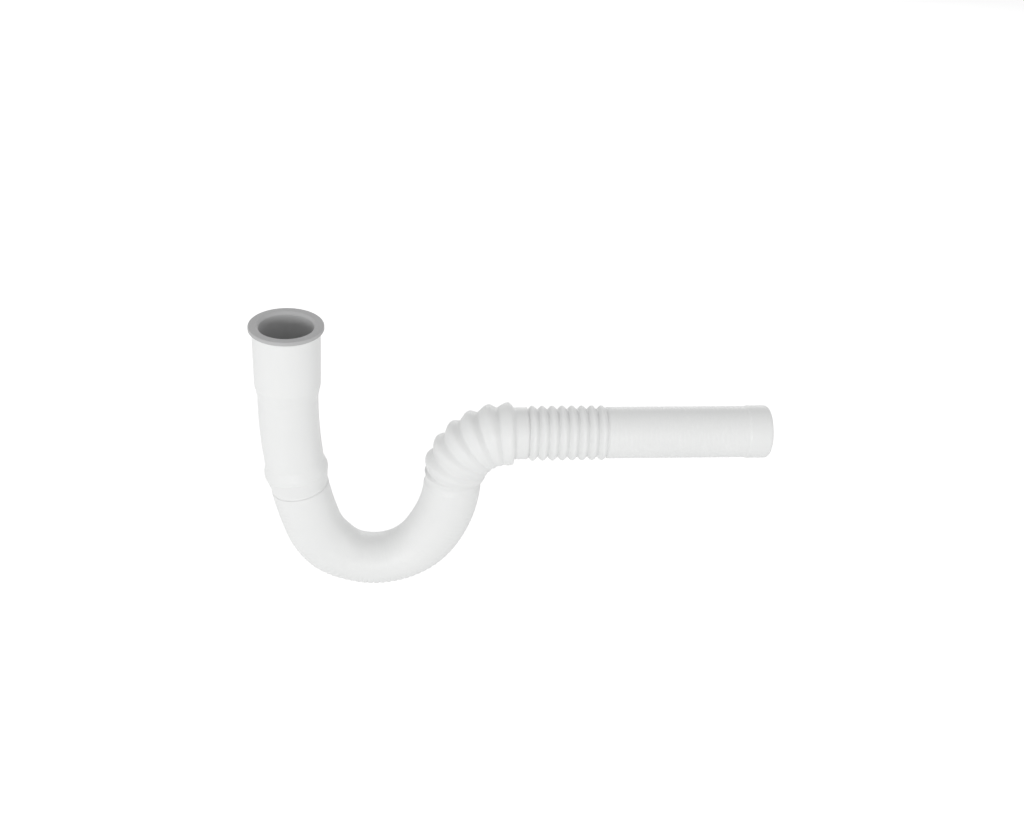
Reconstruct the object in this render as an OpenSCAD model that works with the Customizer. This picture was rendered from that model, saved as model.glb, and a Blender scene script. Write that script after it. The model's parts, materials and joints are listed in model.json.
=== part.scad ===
// Flexible basin trap: a blow-moulded hose with a cup for the basin's tail, a bent water seal
// and a straight outlet, and a rubber gasket in the cup. Millimetres, +Z up. The origin is the
// middle of the cup's rim, in the bore of the gasket. The water runs down from there and leaves
// along +X, and the trap is symmetrical about y = 0.

/* [Inlet cup] */
// Radius of the basin's tail, which the gasket grips
tail_r = 16; // [14:0.5:16.5]
// Outside radius of the cup at its rim
cup_r = 20; // [19.5:0.1:21]
// How much narrower the cup is at its foot, on the radius
cup_taper = 0.4; // [0:0.1:0.8]
// Depth of the cup below its rim
cup_depth = 36; // [28:1:60]
// Height of the slope from the cup down to the neck
step_h = 8; // [4:0.5:14]
// Radius of the small bead round the cup's rim
lip_r = 0.8; // [0.4:0.1:1.2]

/* [Gasket] */
// Outside radius of the gasket's flange
flange_r = 22; // [21.5:0.1:25]
// Thickness of the gasket's flange
flange_t = 2.4; // [1.8:0.1:4]
// Rounding of the flange's outer edge
flange_round = 0.7; // [0.3:0.1:0.8]
// Length of the gasket's sleeve inside the cup
sleeve_len = 24; // [14:1:26]
// Room between the sleeve and the cup
sleeve_gap = 0.15; // [0.1:0.05:0.4]
// Width of the slope at the gasket's mouth
mouth_slope = 0.8; // [0.4:0.1:1]

/* [Hose] */
// Wall of the hose
wall = 1; // [0.8:0.1:1.3]
// Radius of the smooth neck below the cup
neck_r = 18; // [17.4:0.1:18.6]
// Radius of the collar between the neck and the water seal
collar_r = 19.4; // [18.9:0.1:21]
// Length of the collar
collar_len = 19; // [14:1:26]
// Radius of the water seal over its closed folds
seal_r = 17.8; // [17:0.1:18.4]
// Distance from one closed fold to the next along the middle of the hose
rib_pitch = 3; // [2.8:0.1:6]
// Depth of the groove between two closed folds
rib_depth = 0.5; // [0.2:0.05:0.8]
// How much the tight bend is flattened, on the radius in the plane of the bend
bend_flat = 2.2; // [0:0.1:3]

/* [Open folds] */
// Number of open folds over the top bend
fold_count = 6; // [4:1:7]
// Radius of the crest of an open fold
fold_r = 19.8; // [18.8:0.1:20.4]
// Depth of an open fold
fold_depth = 2.4; // [1.5:0.1:3]
// How far the valleys nest towards the inside of the bend, where the folds stay shut
valley_nest = 1.6; // [0.4:0.1:2]
// How far the crests nest towards the inside of the bend
crest_nest = 0.5; // [0:0.1:0.8]
// How far along the bend the open folds begin
fold_lead = 3.8; // [0:0.2:8]
// How far the open folds run on past the bend
fold_tail = 4; // [2:0.5:12]

/* [Outlet] */
// Radius of the short plain cuff after the open folds
cuff_r = 16; // [15.4:0.1:16.6]
// Length of that cuff
cuff_len = 8; // [6:0.5:20]
// Number of small open folds
small_count = 8; // [2:1:16]
// Distance from one small fold to the next
small_pitch = 6.25; // [5:0.25:7.5]
// Radius of the crest of a small fold
small_r = 17; // [16.6:0.1:18]
// Depth of a small fold
small_depth = 2.5; // [1.5:0.1:3]
// Radius of the outlet pipe over its closed folds
pipe_r = 16; // [15.4:0.1:16.4]
// Length of the outlet pipe up to the spigot
pipe_len = 87; // [40:1:200]
// Depth of the groove between two closed folds of the outlet pipe
pipe_groove = 0.2; // [0.1:0.05:0.4]
// Radius of the spigot at the outlet's end
spigot_r = 16.4; // [16:0.1:17.4]
// Length of the spigot
spigot_len = 15; // [12:1:40]
// Rounding of the spigot's end
spigot_round = 3; // [2:0.5:4]

/* [Route] */
// Length of the smooth neck between the cup and the collar
neck_len = 46; // [30:1:80]
// How far the neck and collar lean from upright
neck_turn = 11; // [4:0.5:14]
// Length of the leg below the collar
leg_len = 30; // [20:1:60]
// How far the leg turns towards the bend
leg_turn = 8.5; // [4:0.5:14]
// Radius of the bend at the bottom of the water seal
seal_bend_r = 41; // [36:0.5:60]
// Turn of the bend at the bottom of the water seal
seal_bend_turn = 125; // [116:1:130]
// Length of the riser after the bend
riser_len = 46; // [40:1:80]
// Turn of the riser, which brings it close to upright
riser_turn = 35; // [28:1:40]
// Radius of the bend over the open folds
top_bend_r = 32.4; // [30:0.2:45]

/* [Hidden] */

// Roundness of the true round parts, and the flats round the bent hose
$fn = 96;
sides = 28;
// Longest stretch between two rings inside the bent hose, and the most that it turns there
ring_gap = 10;
ring_turn = 8;
// Straight end of the neck below the cup, and how far the bent hose reaches into each end piece
land = 3;
overlap = 1;
// How deep those ends sit in the wall, and how soon they come out of it
tuck = wall / 4;
flare = 0.6;
// How far a cut runs past the face it opens
cut = 1;
// How much of a fold lies before its crest, and how its crest is rounded
crest_at = 0.62;
crest_side = 0.11;
crest_drop = 0.5;
// Slope from the closed folds down to the first open fold, and how deep its middle is
shoulder_len = 7.5;
shoulder_drop = 1.4;
// Share of the collar that its upper and lower slopes take, and how far its foot is drawn in
collar_rise = 0.16;
collar_fall = 0.4;
collar_foot = 0.7;

cup_wall_r = cup_r - wall;
straight_len = cup_depth + step_h + land;
top_turn = neck_turn + leg_turn + seal_bend_turn + riser_turn - 90;
neck_run = neck_len - land + collar_len;
seal_bend_len = seal_bend_r * seal_bend_turn * PI / 180;
top_bend_len = top_bend_r * top_turn * PI / 180;

// The middle of the hose as lengths and turns, from the cup's rim to the outlet
route = [
    [straight_len, 0],
    [neck_run, neck_turn],
    [leg_len, leg_turn],
    [seal_bend_len, seal_bend_turn],
    [riser_len, riser_turn],
    [top_bend_len, -top_turn],
    [fold_tail, 0]
];

// Where the parts of the hose begin and end along its middle
collar_end = straight_len + neck_run;
collar_start = collar_end - collar_len;
seal_bend_start = collar_end + leg_len;
riser_start = seal_bend_start + seal_bend_len;
fold_start = riser_start + riser_len + fold_lead;
seal_end = fold_start - shoulder_len;
fold_end = riser_start + riser_len + top_bend_len + fold_tail;
fold_pitch = (fold_end - fold_start) / fold_count;
rib_count = floor((seal_end - collar_end) / rib_pitch);
rib_step = (seal_end - collar_end) / rib_count;

// A smooth step from 0 to 1
function ease(t) = let (u = max(0, min(1, t))) u * u * (3 - 2 * u);

// The straight distance between the ends of an arc
function chord(length, turn) =
    turn == 0 ? length : length * sin(turn / 2) * 360 / (turn * PI);

// Place and heading, as x, z and angle, at a distance along the middle of the hose
function walk(s, leg = 0, x = 0, z = 0, heading = -90) =
    let (
        length = route[leg][0],
        last = leg == len(route) - 1,
        done = last ? s : min(s, length),
        turn = route[leg][1] * done / length,
        step = chord(done, turn),
        along = heading + turn / 2,
        x1 = x + step * cos(along),
        z1 = z + step * sin(along)
    )
    last || s <= length ? [x1, z1, heading + turn]
        : walk(s - length, leg + 1, x1, z1, heading + turn);

// How much the hose is flattened at a distance along it: most at the bottom of the bend
function flat_at(s) =
    let (turned = (s - seal_bend_start) / seal_bend_len)
    bend_flat * ease((turned - 0.2) / 0.25) * (1 - ease((turned - 0.6) / 0.5));

// One ring of points round the middle of the hose, moved by shift in the plane of the bend
function ring(s, r, shift = 0) =
    let (
        place = walk(s),
        r_in_plane = r - flat_at(s)
    )
    [for (i = [0 : sides - 1])
        let (
            angle = 360 * i / sides,
            across = r_in_plane * cos(angle) + shift
        )
        [
            place[0] - across * sin(place[2]),
            r * sin(angle),
            place[1] + across * cos(place[2])
        ]
    ];

// Rings at the same places as the outside, or a few of them, as [distance, radius, shift]
collar_rings = [
    [collar_start, neck_r, 0],
    [collar_start + collar_len * collar_rise, collar_r - crest_drop, 0],
    [collar_start + collar_len * collar_rise * 1.5, collar_r, 0],
    [collar_end - collar_len * collar_fall, collar_r, 0],
    [collar_end - rib_step / 2, seal_r - collar_foot, 0]
];

neck_rings = [
    for (i = [0 : floor((collar_start - straight_len) / ring_gap) - 1])
        [straight_len + flare + i * ring_gap, neck_r, 0]
];

// Each closed fold is a groove and a crest
rib_rings = [
    for (i = [0 : rib_count - 1])
        each [
            [collar_end + rib_step * i, seal_r, 0],
            [collar_end + rib_step * (i + 0.5), seal_r - rib_depth, 0]
        ]
];

// Each open fold leans: a long flank up to its rounded crest and a short one down
function fold(i) =
    let (
        at = fold_start + fold_pitch * i,
        crest = at + fold_pitch * crest_at,
        half = fold_pitch * crest_side
    )
    [
        [at, fold_r - fold_depth, -valley_nest],
        [crest - half, fold_r - crest_drop, -crest_nest],
        [crest, fold_r, -crest_nest],
        [crest + half, fold_r - crest_drop, -crest_nest]
    ];

outer_rings = concat(
    [[straight_len - overlap, neck_r - tuck, 0], [straight_len, neck_r - tuck, 0]],
    neck_rings,
    collar_rings,
    rib_rings,
    [[seal_end, seal_r, 0], [seal_end + shoulder_len / 2, seal_r - shoulder_drop, 0]],
    [for (i = [0 : fold_count - 1]) each fold(i)],
    [[fold_end - flare, cuff_r, 0], [fold_end, cuff_r - tuck, 0], [fold_end + overlap, cuff_r - tuck, 0]]
);

// The bore of the closed folds is smooth: rings a few degrees apart
function bore_rings(from, to, turn, r) =
    let (count = ceil(max(turn / ring_turn, (to - from) / ring_gap)))
    [for (i = [0 : count - 1]) [from + (to - from) * i / count, r, 0]];

bore_r = seal_r - rib_depth;

inner_rings = concat(
    [[straight_len - overlap, neck_r + tuck, 0], [straight_len, neck_r + tuck, 0]],
    neck_rings,
    collar_rings,
    bore_rings(collar_end, seal_bend_start, leg_turn, bore_r),
    bore_rings(seal_bend_start, riser_start, seal_bend_turn, bore_r),
    bore_rings(riser_start, seal_end, riser_turn, bore_r),
    [[seal_end, bore_r, 0]],
    [for (i = [0 : fold_count - 1]) let (f = fold(i)) each [f[0], f[2]]],
    [[fold_end - flare, cuff_r, 0], [fold_end, cuff_r + tuck, 0], [fold_end + overlap, cuff_r + tuck, 0]]
);

// A closed skin over a loop of rings: down the outside and back up the inside
module skin(rings) {
    count = len(rings);
    polyhedron(
        points = [for (r = rings) each r],
        faces = [
            for (i = [0 : count - 1])
                for (j = [0 : sides - 1])
                    let (
                        here = i * sides,
                        next = ((i + 1) % count) * sides,
                        k = (j + 1) % sides
                    )
                    each [[here + j, here + k, next + k], [here + j, next + k, next + j]]
        ]
    );
}

module bent_hose() {
    outside = [for (r = outer_rings) ring(r[0], r[1], r[2])];
    inside = [for (r = inner_rings) ring(r[0], r[1] - wall, r[2])];
    last = len(inside) - 1;
    skin(concat(outside, [for (i = [0 : last]) inside[last - i]]));
}

// Half of the cup's section: outside first, then the passage is cut from it
module inlet_section() {
    difference() {
        union() {
            polygon([
                [0, 0],
                [cup_r, 0],
                [cup_r - cup_taper, -cup_depth],
                [neck_r, -cup_depth - step_h],
                [neck_r, -straight_len],
                [0, -straight_len]
            ]);
            translate([cup_r, -lip_r]) circle(lip_r);
        }
        polygon([
            [0, cut],
            [cup_wall_r, cut],
            [cup_wall_r, 0],
            [cup_wall_r - cup_taper, -cup_depth],
            [neck_r - wall, -cup_depth - step_h],
            [neck_r - wall, -straight_len - cut],
            [0, -straight_len - cut]
        ]);
    }
}

module inlet_end() {
    rotate_extrude() inlet_section();
}

// Where the outlet's small folds, pipe and spigot begin, from the end of the bent hose
small_start = cuff_len;
pipe_start = small_start + small_count * small_pitch;
spigot_start = pipe_start + pipe_len;
outlet_len = spigot_start + spigot_len;
groove_count = floor(pipe_len / rib_pitch);
groove_step = pipe_len / groove_count;
// Length of the slope up to the spigot
spigot_rise = 1;

// The outlet's outline as radius and distance, grown inwards by inset
function small_folds(inset) = [
    for (i = [0 : small_count - 1])
        let (at = small_start + small_pitch * i)
        each [
            [small_r - small_depth - inset, at + small_pitch * 0.1],
            [small_r - inset, at + small_pitch * 0.5],
            [small_r - inset, at + small_pitch * 0.6],
            [small_r - small_depth - inset, at + small_pitch]
        ]
];

pipe_grooves = [
    for (i = [0 : groove_count - 1])
        let (at = pipe_start + groove_step * i)
        each [
            [pipe_r, at + groove_step * 0.3],
            [pipe_r, at + groove_step * 0.7],
            [pipe_r - pipe_groove, at + groove_step]
        ]
];

module outlet_section() {
    curl_r = spigot_r - spigot_round;
    curl_y = outlet_len - spigot_round;
    difference() {
        union() {
            polygon(concat(
                [[0, 0], [cuff_r, 0], [cuff_r, small_start]],
                small_folds(0),
                pipe_grooves,
                [[spigot_r, spigot_start + spigot_rise], [spigot_r, curl_y], [0, curl_y]]
            ));
            translate([curl_r, curl_y]) circle(spigot_round);
            translate([0, curl_y]) square([curl_r, spigot_round]);
        }
        polygon(concat(
            [[0, -cut], [cuff_r - wall, -cut], [cuff_r - wall, small_start]],
            small_folds(wall),
            [
                [pipe_r - pipe_groove - wall, pipe_start + groove_step],
                [pipe_r - pipe_groove - wall, spigot_start],
                [spigot_r - wall, spigot_start + spigot_rise],
                [spigot_r - wall, curl_y],
                [0, curl_y]
            ]
        ));
        intersection() {
            translate([curl_r, curl_y]) circle(spigot_round - wall);
            translate([0, curl_y - cut]) square([spigot_r, spigot_round]);
        }
        translate([0, curl_y - cut]) square([curl_r, spigot_round + 2 * cut]);
    }
}

module outlet_end() {
    place = walk(fold_end);
    translate([place[0], 0, place[1]])
        rotate([0, 90, 0])
            rotate_extrude() outlet_section();
}

module hose() {
    color("white") {
        inlet_end();
        bent_hose();
        outlet_end();
    }
}

// The sleeve follows the taper of the cup, with its gap all the way down
module inlet_gasket() {
    sleeve_r = cup_wall_r - sleeve_gap;
    sleeve_taper = cup_taper * sleeve_len / cup_depth;
    color("dimgray")
        rotate_extrude() difference() {
            polygon(concat(
                [[0, flange_t]],
                [for (angle = [90 : -22.5 : 0]) [
                    flange_r - flange_round * (1 - cos(angle)),
                    flange_t - flange_round * (1 - sin(angle))
                ]],
                [
                    [flange_r, 0],
                    [sleeve_r, 0],
                    [sleeve_r - sleeve_taper, -sleeve_len],
                    [0, -sleeve_len]
                ]
            ));
            polygon([
                [0, flange_t + cut],
                [tail_r + mouth_slope, flange_t + cut],
                [tail_r + mouth_slope, flange_t],
                [tail_r, flange_t - mouth_slope],
                [tail_r, mouth_slope - sleeve_len],
                [tail_r + mouth_slope, -sleeve_len],
                [tail_r + mouth_slope, -sleeve_len - cut],
                [0, -sleeve_len - cut]
            ]);
        }
}

hose();
inlet_gasket();
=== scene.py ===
"""The looks of a flexible basin trap: a moulded white hose and the rubber gasket in its cup.

The hose is turned as a straight piece and then bent along its route. Lengths are metres, and the
origin is the middle of the cup's rim. The water runs down from there and leaves along +X.
"""

import json
from collections import namedtuple
from math import atan2, ceil, cos, floor, hypot, pi, radians, sin, tan

import bmesh
import bpy
from bpy.props import FloatProperty, FloatVectorProperty, IntProperty, PointerProperty
from mathutils import Matrix, Vector


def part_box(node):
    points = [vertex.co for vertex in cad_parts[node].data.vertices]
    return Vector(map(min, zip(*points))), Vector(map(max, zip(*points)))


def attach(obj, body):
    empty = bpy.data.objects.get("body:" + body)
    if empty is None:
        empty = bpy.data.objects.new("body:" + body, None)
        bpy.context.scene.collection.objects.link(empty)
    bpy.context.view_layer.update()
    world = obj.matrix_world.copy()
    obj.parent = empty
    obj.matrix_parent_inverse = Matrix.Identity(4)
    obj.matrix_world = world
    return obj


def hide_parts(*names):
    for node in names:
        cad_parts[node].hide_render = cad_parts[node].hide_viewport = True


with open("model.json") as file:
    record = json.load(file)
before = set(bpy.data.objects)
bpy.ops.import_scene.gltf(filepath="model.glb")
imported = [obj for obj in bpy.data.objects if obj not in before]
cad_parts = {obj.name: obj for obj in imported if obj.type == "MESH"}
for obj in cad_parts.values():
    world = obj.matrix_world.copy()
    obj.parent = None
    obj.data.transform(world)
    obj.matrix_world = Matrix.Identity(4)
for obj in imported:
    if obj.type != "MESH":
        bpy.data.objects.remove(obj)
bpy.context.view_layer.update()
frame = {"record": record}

bl_info = {
    "name": "Flexible basin trap",
    "version": (1, 0, 0),
    "blender": (4, 5, 0),
    "location": "View3D > Sidebar > Basin trap",
    "description": "Builds a bent bellows trap, its gasket and a plain studio",
    "category": "Object",
}

IMAGE = (1024, 839)

hose_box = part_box("hose")
gasket_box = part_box("inlet_gasket")
inlet, outlet = frame["record"]["mounts"]


# Sizes and colours that a user would change

class HoseSizes(bpy.types.PropertyGroup):
    """Sizes of the moulded hose"""

    wall: FloatProperty(
        name="Wall", description="Wall of the hose", default=0.001, unit="LENGTH"
    )
    cup_r: FloatProperty(
        name="Cup radius", description="Outside of the cup at its rim", default=0.020, unit="LENGTH"
    )
    cup_taper: FloatProperty(
        name="Cup taper", description="How much narrower the cup's foot is", default=0.0004, unit="LENGTH"
    )
    cup_depth: FloatProperty(
        name="Cup depth", description="Depth of the cup below its rim", default=0.036, unit="LENGTH"
    )
    step_h: FloatProperty(
        name="Step height", description="Slope from the cup to the neck", default=0.008, unit="LENGTH"
    )
    lip: FloatProperty(
        name="Lip", description="How far the bead round the rim stands out", default=0.0008, unit="LENGTH"
    )
    neck_r: FloatProperty(
        name="Neck radius", description="Outside of the smooth neck", default=0.018, unit="LENGTH"
    )
    neck_len: FloatProperty(
        name="Neck length", description="Neck from the step to the collar", default=0.046, unit="LENGTH"
    )
    neck_turn: FloatProperty(
        name="Neck turn", description="Lean of neck and collar", default=radians(11), subtype="ANGLE"
    )
    collar_r: FloatProperty(
        name="Collar radius", description="Outside of the collar", default=0.0195, unit="LENGTH"
    )
    collar_len: FloatProperty(
        name="Collar length", description="Length of the collar", default=0.019, unit="LENGTH"
    )
    seal_r: FloatProperty(
        name="Seal radius", description="Outside of the closed folds", default=0.0178, unit="LENGTH"
    )
    rib_pitch: FloatProperty(
        name="Rib pitch", description="From one closed fold to the next", default=0.003, unit="LENGTH"
    )
    rib_depth: FloatProperty(
        name="Rib depth", description="Groove between closed folds where the bend opens them",
        default=0.0008, unit="LENGTH"
    )
    bend_flat: FloatProperty(
        name="Bend flattening", description="Radius lost in the tight bend", default=0.0022, unit="LENGTH"
    )
    leg_len: FloatProperty(
        name="Leg length", description="Leg below the collar", default=0.030, unit="LENGTH"
    )
    leg_turn: FloatProperty(
        name="Leg turn", description="Turn of the leg", default=radians(8.5), subtype="ANGLE"
    )
    seal_bend_r: FloatProperty(
        name="Seal bend radius", description="Bend that holds the water", default=0.041, unit="LENGTH"
    )
    seal_bend_turn: FloatProperty(
        name="Seal bend turn", description="Turn of that bend", default=radians(125), subtype="ANGLE"
    )
    riser_len: FloatProperty(
        name="Riser length", description="Riser after the bend", default=0.046, unit="LENGTH"
    )
    riser_turn: FloatProperty(
        name="Riser turn", description="Turn of the riser", default=radians(35), subtype="ANGLE"
    )
    top_bend_r: FloatProperty(
        name="Top bend radius", description="Bend over the open folds", default=0.0324, unit="LENGTH"
    )
    fold_count: IntProperty(name="Open folds", description="Folds over the top bend", default=6)
    fold_r: FloatProperty(
        name="Fold radius", description="Crest of an open fold", default=0.0195, unit="LENGTH"
    )
    fold_depth: FloatProperty(
        name="Fold depth", description="Depth of an open fold", default=0.0018, unit="LENGTH"
    )
    valley_nest: FloatProperty(
        name="Valley nesting", description="Shift of the valleys into the bend", default=0.0017,
        unit="LENGTH"
    )
    crest_nest: FloatProperty(
        name="Crest nesting", description="Shift of the crests into the bend", default=0.0003,
        unit="LENGTH"
    )
    fold_lead: FloatProperty(
        name="Fold lead", description="Bend before the open folds", default=0.0038, unit="LENGTH"
    )
    fold_tail: FloatProperty(
        name="Fold tail", description="Open folds past the bend", default=0.004, unit="LENGTH"
    )
    shoulder_len: FloatProperty(
        name="Shoulder length", description="Slope down to the first open fold", default=0.0075,
        unit="LENGTH"
    )
    shoulder_drop: FloatProperty(
        name="Shoulder drop", description="Drop of that slope at its middle", default=0.0014,
        unit="LENGTH"
    )
    cuff_r: FloatProperty(
        name="Cuff radius", description="Plain cuff after the open folds", default=0.016, unit="LENGTH"
    )
    cuff_len: FloatProperty(
        name="Cuff length", description="Length of the cuff", default=0.008, unit="LENGTH"
    )
    small_count: IntProperty(name="Small folds", description="Small folds of the outlet", default=8)
    small_pitch: FloatProperty(
        name="Small pitch", description="From one small fold to the next", default=0.00625,
        unit="LENGTH"
    )
    small_r: FloatProperty(
        name="Small fold radius", description="Crest of a small fold", default=0.017, unit="LENGTH"
    )
    small_depth: FloatProperty(
        name="Small fold depth", description="Depth of a small fold", default=0.0025, unit="LENGTH"
    )
    pipe_r: FloatProperty(
        name="Pipe radius", description="Outlet pipe over its closed folds", default=0.016,
        unit="LENGTH"
    )
    pipe_groove: FloatProperty(
        name="Pipe groove", description="Groove between its closed folds", default=0.0001,
        unit="LENGTH"
    )
    spigot_len: FloatProperty(
        name="Spigot length", description="Length of the spigot", default=0.015, unit="LENGTH"
    )
    spigot_round: FloatProperty(
        name="Spigot rounding", description="Rounding of its end", default=0.003, unit="LENGTH"
    )
    spigot_r: FloatProperty(
        name="Spigot radius", description="Outside of the spigot",
        default=outlet["dims"]["r_mm"] / 1000, unit="LENGTH"
    )
    sides: IntProperty(name="Sides", description="Flats round the hose", default=78)


class GasketSizes(bpy.types.PropertyGroup):
    """Sizes of the rubber gasket"""

    bore_r: FloatProperty(
        name="Bore radius", description="Radius of the tail that it grips",
        default=inlet["dims"]["r_mm"] / 1000, unit="LENGTH"
    )
    flange_r: FloatProperty(
        name="Flange radius", description="Outside of the flange", default=gasket_box[1][0],
        unit="LENGTH"
    )
    flange_t: FloatProperty(
        name="Flange thickness", description="Flange over the cup's rim", default=gasket_box[1][2],
        unit="LENGTH"
    )
    sleeve_gap: FloatProperty(
        name="Sleeve gap", description="Room between sleeve and cup", default=0.00015, unit="LENGTH"
    )
    mouth_slope: FloatProperty(
        name="Mouth slope", description="Slope at the mouth", default=0.0014, unit="LENGTH"
    )
    rounding: FloatProperty(
        name="Rounding", description="Rounding of the flange's edge", default=0.0007, unit="LENGTH"
    )
    edge: FloatProperty(
        name="Edge", description="Rounding of the small edges", default=0.0003, unit="LENGTH"
    )
    sides: IntProperty(name="Sides", description="Flats round the gasket", default=128)


class FinishColours(bpy.types.PropertyGroup):
    """Colours of the materials"""

    plastic: FloatVectorProperty(
        name="Plastic", description="White moulded plastic", default=(0.83, 0.835, 0.83),
        subtype="COLOR", min=0, max=1
    )
    plastic_shade: FloatVectorProperty(
        name="Plastic shade", description="Where the plastic is a little thicker",
        default=(0.80, 0.807, 0.803), subtype="COLOR", min=0, max=1
    )
    rubber: FloatVectorProperty(
        name="Rubber", description="Grey moulded rubber", default=(0.50, 0.50, 0.50),
        subtype="COLOR", min=0, max=1
    )
    rubber_shade: FloatVectorProperty(
        name="Rubber shade", description="Darker patches of the rubber",
        default=(0.45, 0.45, 0.455), subtype="COLOR", min=0, max=1
    )
    floor: FloatVectorProperty(
        name="Floor", description="Plain pale floor", default=(0.86, 0.86, 0.86),
        subtype="COLOR", min=0, max=1
    )


class StudioSizes(bpy.types.PropertyGroup):
    """Camera and lights"""

    azimuth: FloatProperty(
        name="Azimuth", description="Side that the camera stands on", default=radians(-7.56),
        subtype="ANGLE"
    )
    elevation: FloatProperty(
        name="Elevation", description="Height of the camera", default=radians(31), subtype="ANGLE"
    )
    roll: FloatProperty(
        name="Roll", description="Turn of the picture", default=radians(3.53), subtype="ANGLE"
    )
    distance: FloatProperty(
        name="Distance", description="From the camera to its target", default=0.915, unit="LENGTH"
    )
    target: FloatVectorProperty(
        name="Target", description="What the camera looks at", default=(0.13484, 0, -0.06254),
        subtype="TRANSLATION", unit="LENGTH"
    )
    focal_pixels: FloatProperty(
        name="Focal length", description="Focal length in pixels of the picture", default=1500
    )
    room: FloatProperty(
        name="Room light", description="Strength of the light all round", default=0.6
    )
    front_power: FloatProperty(
        name="Front light", description="Power of the soft light beside the camera", default=12,
        unit="POWER"
    )
    side_power: FloatProperty(
        name="Side lights", description="Power of the weak light on either side", default=4,
        unit="POWER"
    )
    back_power: FloatProperty(
        name="Back light", description="Power of the weak light behind", default=6, unit="POWER"
    )
    light_distance: FloatProperty(
        name="Light distance", description="From the lights to the target", default=1.9, unit="LENGTH"
    )
    light_height: FloatProperty(
        name="Light height", description="How high the lights stand over the target",
        default=radians(10), subtype="ANGLE"
    )
    floor_drop: FloatProperty(
        name="Floor drop", description="Floor below the lowest point of the hose", default=0.12,
        unit="LENGTH"
    )
    floor_size: FloatProperty(
        name="Floor size", description="Side of the floor", default=8, unit="LENGTH"
    )
    floor_glow: FloatProperty(
        name="Floor glow", description="White added to the floor for the camera", default=0.43,
        min=0, max=1, subtype="FACTOR"
    )


# One point of the hose's section, laid out straight: distance from the rim, radius, shift of its
# ring in the plane of the bend, depth of its groove, and how much of that only the bend opens
Point = namedtuple("Point", "s r shift groove opens", defaults=(0, 0, 0))


def ease(t):
    """A smooth step from 0 to 1."""
    u = max(0, min(1, t))
    return u * u * (3 - 2 * u)


def flank(rise):
    """Height of a fold's flank, 0 in the valley and 1 on the crest, which is rounded."""
    round_from = 0.6
    slope = 2 / (1 + round_from)
    if rise < round_from:
        return slope * rise
    return 1 - slope * (1 - rise) ** 2 / (2 * (1 - round_from))


class Route:
    """The middle of the hose: lengths and turns from the cup's rim to the outlet."""

    def __init__(self, size):
        self.size = size
        straight = size.cup_depth + size.step_h
        seal_bend = size.seal_bend_r * size.seal_bend_turn
        top_turn = size.neck_turn + size.leg_turn + size.seal_bend_turn + size.riser_turn - pi / 2
        top_bend = size.top_bend_r * top_turn
        land = 0.003
        self.legs = [
            (straight + land, 0),
            (size.neck_len - land + size.collar_len, size.neck_turn),
            (size.leg_len, size.leg_turn),
            (seal_bend, size.seal_bend_turn),
            (size.riser_len, size.riser_turn),
            (top_bend, -top_turn),
            (size.fold_tail, 0),
        ]
        self.collar_end = straight + size.neck_len + size.collar_len
        self.collar_start = self.collar_end - size.collar_len
        self.bend_start = self.collar_end + size.leg_len
        self.bend_len = seal_bend
        riser_end = self.bend_start + seal_bend + size.riser_len
        self.fold_start = riser_end + size.fold_lead
        self.seal_end = self.fold_start - size.shoulder_len
        self.fold_end = riser_end + top_bend + size.fold_tail
        self.small_start = self.fold_end + size.cuff_len
        self.pipe_start = self.small_start + size.small_count * size.small_pitch
        self.end = self.fold_end + hose_box[1][0] - self.walk(self.fold_end)[0]
        self.spigot_start = self.end - size.spigot_len

    def walk(self, s):
        """Place and heading, as x, z and angle, at a distance along the middle."""
        x, z, heading = 0, 0, -pi / 2
        for length, turn in self.legs:
            done = s if (length, turn) == self.legs[-1] else min(s, length)
            turned = turn * done / length
            chord = done * sin(turned / 2) / (turned / 2) if turned else done
            x += chord * cos(heading + turned / 2)
            z += chord * sin(heading + turned / 2)
            heading += turned
            s -= done
            if s <= 0:
                break
        return x, z, heading

    def turned(self, s):
        """Share of the seal's bend that lies behind a distance."""
        return (s - self.bend_start) / self.bend_len

    def flat(self, s):
        """How much the hose is flattened there: most at the bottom of the bend."""
        t = self.turned(s)
        return self.size.bend_flat * ease((t - 0.2) / 0.25) * (1 - ease((t - 0.6) / 0.5))

    def opening(self, s):
        """How far the bend opens the closed folds on its outer side there."""
        t = self.turned(s)
        return 0.3 + 0.7 * ease((t - 0.05) / 0.3) * (1 - ease((t - 0.75) / 0.5))


def spaced(start, end, gap):
    """Distances from start up to, but not at, end, no more than gap apart."""
    count = max(1, ceil((end - start) / gap - 1e-6))
    return [start + (end - start) * i / count for i in range(count)]


def rounded(corners, gap, steps=6):
    """Points of an outline of (distance, radius, rounding) corners: each corner an arc, each long
    stretch cut no more than gap apart."""
    points = [Vector(corners[0][:2])]
    for before, corner, after in zip(corners, corners[1:], corners[2:]):
        here = Vector(corner[:2])
        to_before = (Vector(before[:2]) - here).normalized()
        to_after = (Vector(after[:2]) - here).normalized()
        half = to_before.angle(to_after) / 2
        if corner[2] == 0 or half > 1.55:
            points.append(here)
            continue
        reach = corner[2] / tan(half)
        centre = here + (to_before + to_after).normalized() * corner[2] / sin(half)
        start = here + to_before * reach - centre
        sweep = (here + to_after * reach - centre).angle_signed(start)
        for i in range(steps + 1):
            points.append(centre + Matrix.Rotation(sweep * i / steps, 2) @ start)
    points.append(Vector(corners[-1][:2]))
    outline = []
    for here, after in zip(points, points[1:]):
        for t in spaced(0, (after - here).length, gap):
            outline.append(here.lerp(after, t / max(1e-9, (after - here).length)))
    outline.append(points[-1])
    return [Point(p.x, p.y) for p in outline]


# The hose

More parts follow.
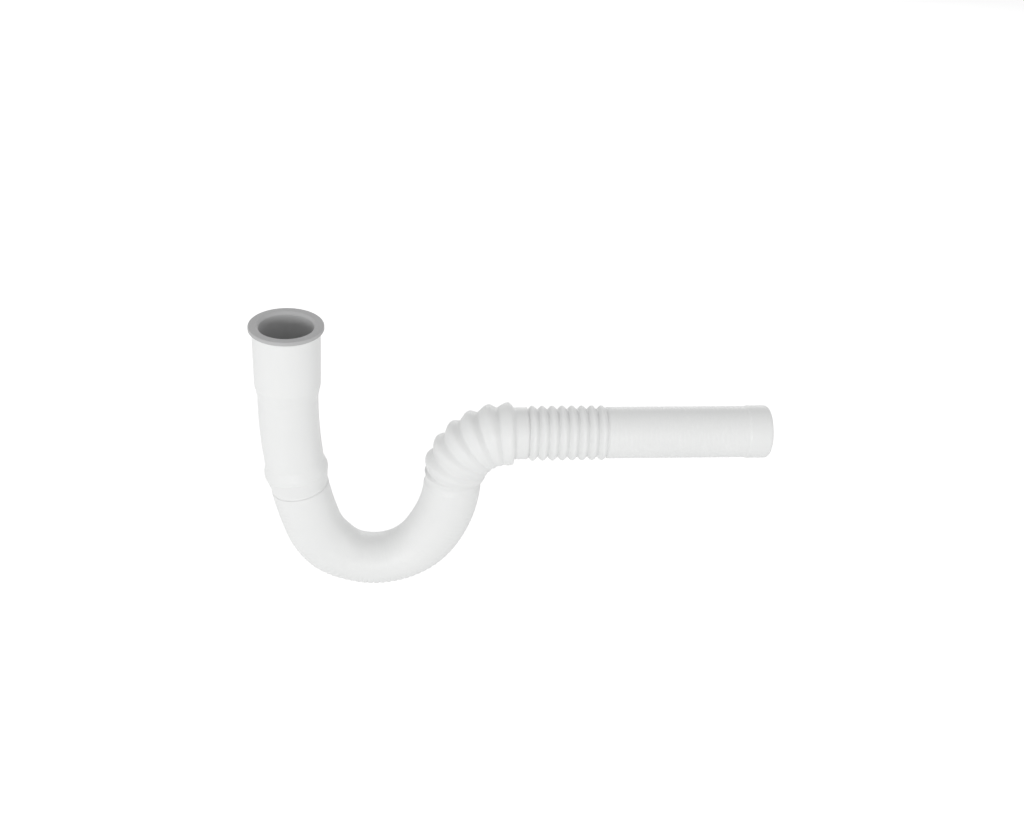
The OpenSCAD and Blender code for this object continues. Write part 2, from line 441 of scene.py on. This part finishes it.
def upper_section(size, route, inset, gap):
    """Cup, step, neck and collar."""
    cup_foot = size.cup_depth
    neck_top = cup_foot + size.step_h
    collar, fall = route.collar_start, route.collar_end
    crease = collar + size.collar_len * 0.42
    lip = [] if inset else [
        (0.0000, size.cup_r - size.wall / 2, 0),
        (0.0000, size.cup_r + size.lip, size.lip * 0.8),
        (size.lip * 2, size.cup_r + size.lip, size.lip * 0.8),
        (size.lip * 2.4, size.cup_r, 0.0004),
    ]
    if inset:
        lip = [(0.0000, size.cup_r - inset, 0.0)]
    return rounded(lip + [
        (cup_foot, size.cup_r - size.cup_taper - inset, 0.006),
        (neck_top, size.neck_r - inset, 0.004),
        (collar, size.neck_r - inset, 0.004),
        (collar + size.collar_len * 0.3, size.collar_r - inset, 0.003),
        (crease, size.collar_r - inset, 0.0003),
        (crease + 0.0004, size.collar_r - 0.0003 - inset, 0.0004),
        (fall - size.rib_pitch / 2, size.seal_r - 0.0005 - inset, 0.001),
        (fall, size.seal_r - inset, 0),
    ], gap)


RIB_SHAPE = ((0, 1), (0.08, 0.75), (0.2, 0.25), (0.36, 0.03), (0.5, 0), (0.64, 0.03), (0.8, 0.25), (0.92, 0.75))


def closed_folds(start, end, pitch, radius, depth, opens):
    """Grooves between closed folds, from one groove to the next."""
    count = floor((end - start) / pitch)
    step = (end - start) / count
    return [
        Point(start + step * (i + t), radius, 0, depth * share, opens)
        for i in range(count)
        for t, share in RIB_SHAPE
    ]


def open_folds(start, pitch, count, crest, depth, crest_at, valley_shift, crest_shift, inset, steps):
    """Open folds with straight flanks, rounded crests and sharp valleys."""
    points = []
    for i in range(count):
        for j in range(steps):
            t = j / steps
            rise = t / crest_at if t < crest_at else (1 - t) / (1 - crest_at)
            height = flank(rise)
            points.append(Point(
                start + pitch * (i + t),
                crest - depth * (1 - height) - inset,
                valley_shift + (crest_shift - valley_shift) * height,
            ))
    return points


def lower_section(size, route, inset, steps, gap):
    """Shoulder, open folds, cuff, small folds."""
    pitch = (route.fold_end - route.fold_start) / size.fold_count
    middle = (route.seal_end + route.fold_start) / 2
    return [
        *rounded([
            (route.seal_end, size.seal_r - inset, 0),
            (middle, size.seal_r - size.shoulder_drop - inset, 0.004),
            (route.fold_start - 0.0005, size.fold_r - size.fold_depth - inset, 0),
        ], gap),
        *open_folds(
            route.fold_start, pitch, size.fold_count, size.fold_r, size.fold_depth, 0.62,
            -size.valley_nest, -size.crest_nest, inset, steps
        ),
        *rounded([
            (route.fold_end, size.cuff_r - inset, 0),
            (route.small_start, size.cuff_r - inset, 0),
            (route.small_start + size.small_pitch * 0.1, size.small_r - size.small_depth - inset, 0),
        ], gap)[:-1],
        *open_folds(
            route.small_start + size.small_pitch * 0.1, size.small_pitch * 0.98, size.small_count,
            size.small_r, size.small_depth, 0.5, 0, 0, inset, steps
        ),
    ]


def outer_section(size, route):
    """The outside of the hose from the cup's rim to the end of the spigot."""
    seal = closed_folds(
        route.collar_end, route.seal_end, size.rib_pitch, size.seal_r, size.rib_depth, 1
    )
    pipe = closed_folds(
        route.pipe_start, route.spigot_start, size.rib_pitch, size.pipe_r, size.pipe_groove, 0
    )
    curl = size.spigot_round
    spigot = rounded([
        (route.spigot_start, size.pipe_r, 0),
        (route.spigot_start + 0.001, size.spigot_r, 0.0006),
        (route.end, size.spigot_r, curl),
        (route.end, size.spigot_r - curl, 0),
    ], 0.003, 8)
    return (
        upper_section(size, route, 0, 0.003) + seal + lower_section(size, route, 0, 12, 0.0015)
        + pipe + spigot
    )


def inner_section(size, route):
    """The bore, from the cup's rim to the end of the spigot."""
    bore = size.seal_r - size.rib_depth - size.wall
    pipe_bore = size.pipe_r - size.pipe_groove - size.wall
    curl = size.spigot_round - size.wall
    return [
        *upper_section(size, route, size.wall, 0.004)[:-1],
        *[Point(s, bore) for s in spaced(route.collar_end, route.seal_end, 0.003)],
        *lower_section(size, route, size.wall, 8, 0.002),
        *rounded([
            (route.pipe_start, pipe_bore, 0),
            (route.spigot_start, pipe_bore, 0),
            (route.spigot_start + 0.001, size.spigot_r - size.wall, 0),
            (route.end - size.wall, size.spigot_r - size.wall, curl),
            (route.end - size.wall, size.spigot_r - size.spigot_round, 0),
        ], 0.006, 8),
    ]


def turn_profile(bm, points, sides):
    """Spins a closed outline round the Z axis, downwards from the origin. Each vertex keeps the
    number of its point."""
    number = bm.verts.layers.int.new("number")
    chain = []
    for i, point in enumerate(points):
        vert = bm.verts.new((point.r, 0, -point.s))
        vert[number] = i
        chain.append(vert)
    edges = [bm.edges.new(pair) for pair in zip(chain, chain[1:] + chain[:1])]
    bmesh.ops.spin(
        bm, geom=chain + edges, cent=(0, 0, 0), axis=(0, 0, 1), angle=2 * pi, steps=sides,
        use_merge=True
    )
    bmesh.ops.recalc_face_normals(bm, faces=bm.faces)
    return number


def bend_along(bm, number, points, route):
    """Bends the straight hose along its route, and flattens, nests and grooves its rings."""
    places = [route.walk(p.s) for p in points]
    flats = [route.flat(p.s) for p in points]
    openings = [route.opening(p.s) for p in points]
    for vert in bm.verts:
        i = vert[number]
        point = points[i]
        x, z, heading = places[i]
        angle = atan2(vert.co.y, vert.co.x)
        outer_side = ease(-0.1 - cos(angle))
        share = 1 - point.opens * (1 - openings[i] * (0.08 + 0.92 * outer_side))
        radius = point.r - point.groove * share
        across = (radius - flats[i]) * cos(angle) + point.shift
        vert.co = (x - across * sin(heading), radius * sin(angle), z + across * cos(heading))


def new_piece(name, bm, material, node):
    """Makes a finished piece of a bmesh: it rides on the part and stands for one of its nodes."""
    mesh = bpy.data.meshes.new(name)
    for face in bm.faces:
        face.smooth = True
    bm.to_mesh(mesh)
    bm.free()
    mesh.materials.append(material)
    piece = bpy.data.objects.new(name, mesh)
    bpy.context.scene.collection.objects.link(piece)
    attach(piece, "root")
    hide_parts(node)
    return piece


class OBJECT_OT_trap_hose(bpy.types.Operator):
    """Turn the moulded hose and bend it along its route"""

    bl_idname = "object.trap_hose"
    bl_label = "Hose"

    def execute(self, context):
        size = context.scene.trap_hose
        route = Route(size)
        points = outer_section(size, route) + inner_section(size, route)[::-1]
        bm = bmesh.new()
        number = turn_profile(bm, points, size.sides)
        bend_along(bm, number, points, route)
        new_piece("moulded_hose", bm, white_plastic(context), "hose")
        return {"FINISHED"}


# The gasket

class OBJECT_OT_trap_gasket(bpy.types.Operator):
    """Turn the rubber gasket that sits in the cup"""

    bl_idname = "object.trap_gasket"
    bl_label = "Gasket"

    def execute(self, context):
        size = context.scene.trap_gasket
        hose = context.scene.trap_hose
        sleeve_len = -gasket_box[0][2]
        sleeve_top = hose.cup_r - hose.wall - size.sleeve_gap
        sleeve_foot = sleeve_top - hose.cup_taper * sleeve_len / hose.cup_depth
        mouth = size.bore_r + size.mouth_slope
        points = rounded([
            (-size.flange_t, (mouth + size.flange_r) / 2, 0),
            (-size.flange_t, size.flange_r, size.rounding),
            (0, size.flange_r, size.edge),
            (0, sleeve_top, size.edge / 2),
            (sleeve_len, sleeve_foot, size.edge),
            (sleeve_len, mouth, size.edge / 2),
            (sleeve_len - size.mouth_slope, size.bore_r, size.edge),
            (size.mouth_slope - size.flange_t, size.bore_r, size.mouth_slope),
            (-size.flange_t, mouth, size.mouth_slope / 2),
            (-size.flange_t, (mouth + size.flange_r) / 2, 0),
        ], 0.004)[:-1]
        bm = bmesh.new()
        turn_profile(bm, points, size.sides)
        new_piece("rubber_gasket", bm, grey_rubber(context), "inlet_gasket")
        return {"FINISHED"}


# Materials

class Number:
    """A number that varies over a surface: arithmetic on it adds Math nodes."""

    def __init__(self, shader, socket):
        self.shader = shader
        self.socket = socket

    def math(self, operation, first, second):
        node = self.shader.node("Math", {"operation": operation}, {0: first, 1: second})
        return Number(self.shader, node.outputs[0])

    def __add__(self, other):
        return self.math("ADD", self, other)

    def __sub__(self, other):
        return self.math("SUBTRACT", self, other)

    def __rsub__(self, other):
        return self.math("SUBTRACT", other, self)

    def __mul__(self, other):
        return self.math("MULTIPLY", self, other)

    __radd__ = __add__
    __rmul__ = __mul__


class Shader:
    """The nodes of one material."""

    def __init__(self, name, owner=None):
        self.owner = owner or bpy.data.materials.new(name)
        self.owner.use_nodes = True
        self.tree = self.owner.node_tree
        self.tree.nodes.clear()

    def node(self, kind, settings=None, values=None):
        """Adds a node of a kind, sets its settings first and then its sockets' values or links."""
        node = self.tree.nodes.new("ShaderNode" + kind)
        for name, value in (settings or {}).items():
            setattr(node, name, value)
        for name, value in (values or {}).items():
            socket = node.inputs[name]
            value = value.socket if isinstance(value, Number) else value
            if isinstance(value, bpy.types.NodeSocket):
                self.tree.links.new(value, socket)
            else:
                socket.default_value = value
        return node

    def number(self, kind, output, settings=None, values=None):
        """Adds a node and gives one of its outputs as a number."""
        return Number(self, self.node(kind, settings, values).outputs[output])

    def noise(self, place, scale, detail):
        """Noise of a size in metres, from 0 to 1."""
        values = {"Vector": place, "Scale": 1 / scale, "Detail": detail}
        return self.number("TexNoise", "Fac", {}, values)

    def blend(self, factor, first, second):
        """A colour between two colours."""
        values = {"Factor": factor, "A": (*first, 1), "B": (*second, 1)}
        node = self.tree.nodes.new("ShaderNodeMix")
        node.data_type = "RGBA"
        self.tree.links.new(factor.socket, node.inputs["Factor"])
        node.inputs[6].default_value = values["A"]
        node.inputs[7].default_value = values["B"]
        return node.outputs[2]

    def bump(self, height, distance):
        """A normal from a height of 0 to 1 times a distance."""
        node = self.node("Bump", {}, {"Height": height, "Distance": distance, "Strength": 1})
        return node.outputs["Normal"]

    def surface(self, shader, **values):
        """Sets the material's surface."""
        self.node("OutputMaterial", {}, {"Surface": shader})


def moulded(name, colour, shade, roughness, grain, bump, specular):
    """A moulded finish: faint clouds of colour and gloss, and a fine grain in the surface."""
    shader = Shader(name)
    place = shader.node("TexCoord").outputs["Object"]
    clouds = shader.noise(place, 0.03, 3)
    fine = shader.noise(place, grain, 2)
    wide = shader.noise(place, grain * 8, 2)
    principled = shader.node("BsdfPrincipled", {}, {
        "Base Color": shader.blend(clouds, colour, shade),
        "Roughness": clouds * 0.1 + (roughness - 0.05),
        "Normal": shader.bump(fine * 0.4 + wide * 0.6, bump),
        "Specular IOR Level": specular,
    })
    shader.surface(principled.outputs["BSDF"])
    return shader.owner


def white_plastic(context):
    colours = context.scene.trap_colours
    return moulded(
        "white_plastic", colours.plastic, colours.plastic_shade, 0.42, 0.0006, 0.00002, 0.4
    )


def grey_rubber(context):
    colours = context.scene.trap_colours
    return moulded(
        "grey_rubber", colours.rubber, colours.rubber_shade, 0.62, 0.0004, 0.00003, 0.3
    )


# The studio

def look_from(target, azimuth, elevation, distance):
    """The matrix of a camera or a light that looks at a target."""
    out = Vector((
        sin(azimuth) * cos(elevation),
        -cos(azimuth) * cos(elevation),
        sin(elevation),
    ))
    turn = out.to_track_quat("Z", "Y").to_matrix().to_4x4()
    return Matrix.Translation(Vector(target) + out * distance) @ turn


def add_camera(context, size):
    data = bpy.data.cameras.new("camera")
    data.sensor_width = 36
    data.lens = size.focal_pixels * data.sensor_width / IMAGE[0]
    data.clip_start = size.distance / 100
    data.clip_end = size.distance * 100
    camera = bpy.data.objects.new("camera", data)
    view = look_from(size.target, size.azimuth, size.elevation, size.distance)
    camera.matrix_world = view @ Matrix.Rotation(size.roll, 4, "Z")
    context.scene.collection.objects.link(camera)
    context.scene.camera = camera


def add_light(context, size, name, azimuth, power):
    """A wide, low soft box at the lights' height, an angle round from the camera."""
    data = bpy.data.lights.new(name, "AREA")
    data.shape = "RECTANGLE"
    data.size = 1.4
    data.size_y = 0.35
    data.energy = power
    light = bpy.data.objects.new(name, data)
    light.matrix_world = look_from(
        size.target, size.azimuth + azimuth, size.light_height, size.light_distance
    )
    light.visible_camera = False
    context.scene.collection.objects.link(light)


def seen_plainly(shader):
    """1 for what the camera sees straight, in gloss or through glass."""
    path = shader.node("LightPath")
    seen = Number(shader, path.outputs["Is Camera Ray"])
    return seen + Number(shader, path.outputs["Is Glossy Ray"]) + Number(
        shader, path.outputs["Is Transmission Ray"]
    )


def add_room(context, size):
    world = bpy.data.worlds.new("room")
    context.scene.world = world
    shader = Shader("room", world)
    strength = seen_plainly(shader) * (1 - size.room) + size.room
    light = shader.node("Background", {}, {"Color": (1, 1, 1, 1), "Strength": strength})
    shader.node("OutputWorld", {}, {"Surface": light.outputs["Background"]})


def floor_material(context, size):
    """A plain pale floor that keeps its shadows and looks white where none falls."""
    shader = Shader("pale_floor")
    colour = (*context.scene.trap_colours.floor, 1)
    matt = shader.node("BsdfDiffuse", {}, {"Color": colour})
    glow = seen_plainly(shader) * size.floor_glow
    white = shader.node("Emission", {}, {"Color": (1, 1, 1, 1), "Strength": glow})
    both = shader.node("AddShader", {}, {0: matt.outputs[0], 1: white.outputs[0]})
    shader.surface(both.outputs[0])
    return shader.owner


class OBJECT_OT_trap_studio(bpy.types.Operator):
    """Set up the camera, the floor and the soft light"""

    bl_idname = "object.trap_studio"
    bl_label = "Studio"

    def execute(self, context):
        size = context.scene.trap_studio
        view = context.scene.view_settings
        view.view_transform = "Standard"
        add_camera(context, size)
        add_room(context, size)
        add_light(context, size, "front_light", radians(-10), size.front_power)
        add_light(context, size, "left_light", radians(-75), size.side_power)
        add_light(context, size, "right_light", radians(75), size.side_power)
        add_light(context, size, "back_light", radians(180), size.back_power)
        bm = bmesh.new()
        bmesh.ops.create_grid(bm, x_segments=4, y_segments=4, size=size.floor_size / 2)
        place = (size.target[0], 0, hose_box[0][2] - size.floor_drop)
        bmesh.ops.translate(bm, verts=bm.verts, vec=place)
        mesh = bpy.data.meshes.new("floor")
        bm.to_mesh(mesh)
        bm.free()
        mesh.materials.append(floor_material(context, size))
        floor = bpy.data.objects.new("floor", mesh)
        context.scene.collection.objects.link(floor)
        return {"FINISHED"}


class VIEW3D_PT_trap(bpy.types.Panel):
    """Sizes and steps of the basin trap"""

    bl_label = "Basin trap"
    bl_space_type = "VIEW_3D"
    bl_region_type = "UI"
    bl_category = "Basin trap"

    def draw(self, context):
        for operator, group in STEPS:
            box = self.layout.box()
            box.operator(operator.bl_idname)
            for name in group.__annotations__:
                box.prop(getattr(context.scene, GROUPS[group]), name)


GROUPS = {
    HoseSizes: "trap_hose",
    GasketSizes: "trap_gasket",
    FinishColours: "trap_colours",
    StudioSizes: "trap_studio",
}
STEPS = (
    (OBJECT_OT_trap_hose, HoseSizes),
    (OBJECT_OT_trap_gasket, GasketSizes),
    (OBJECT_OT_trap_studio, StudioSizes),
)
CLASSES = (*GROUPS, *[operator for operator, group in STEPS], VIEW3D_PT_trap)


def register():
    for cls in CLASSES:
        bpy.utils.register_class(cls)
    for group, name in GROUPS.items():
        setattr(bpy.types.Scene, name, PointerProperty(type=group))


def unregister():
    for name in GROUPS.values():
        delattr(bpy.types.Scene, name)
    for cls in reversed(CLASSES):
        bpy.utils.unregister_class(cls)


def main():
    register()
    bpy.ops.object.trap_hose()
    bpy.ops.object.trap_gasket()
    bpy.ops.object.trap_studio()


if __name__ == "__main__":
    main()
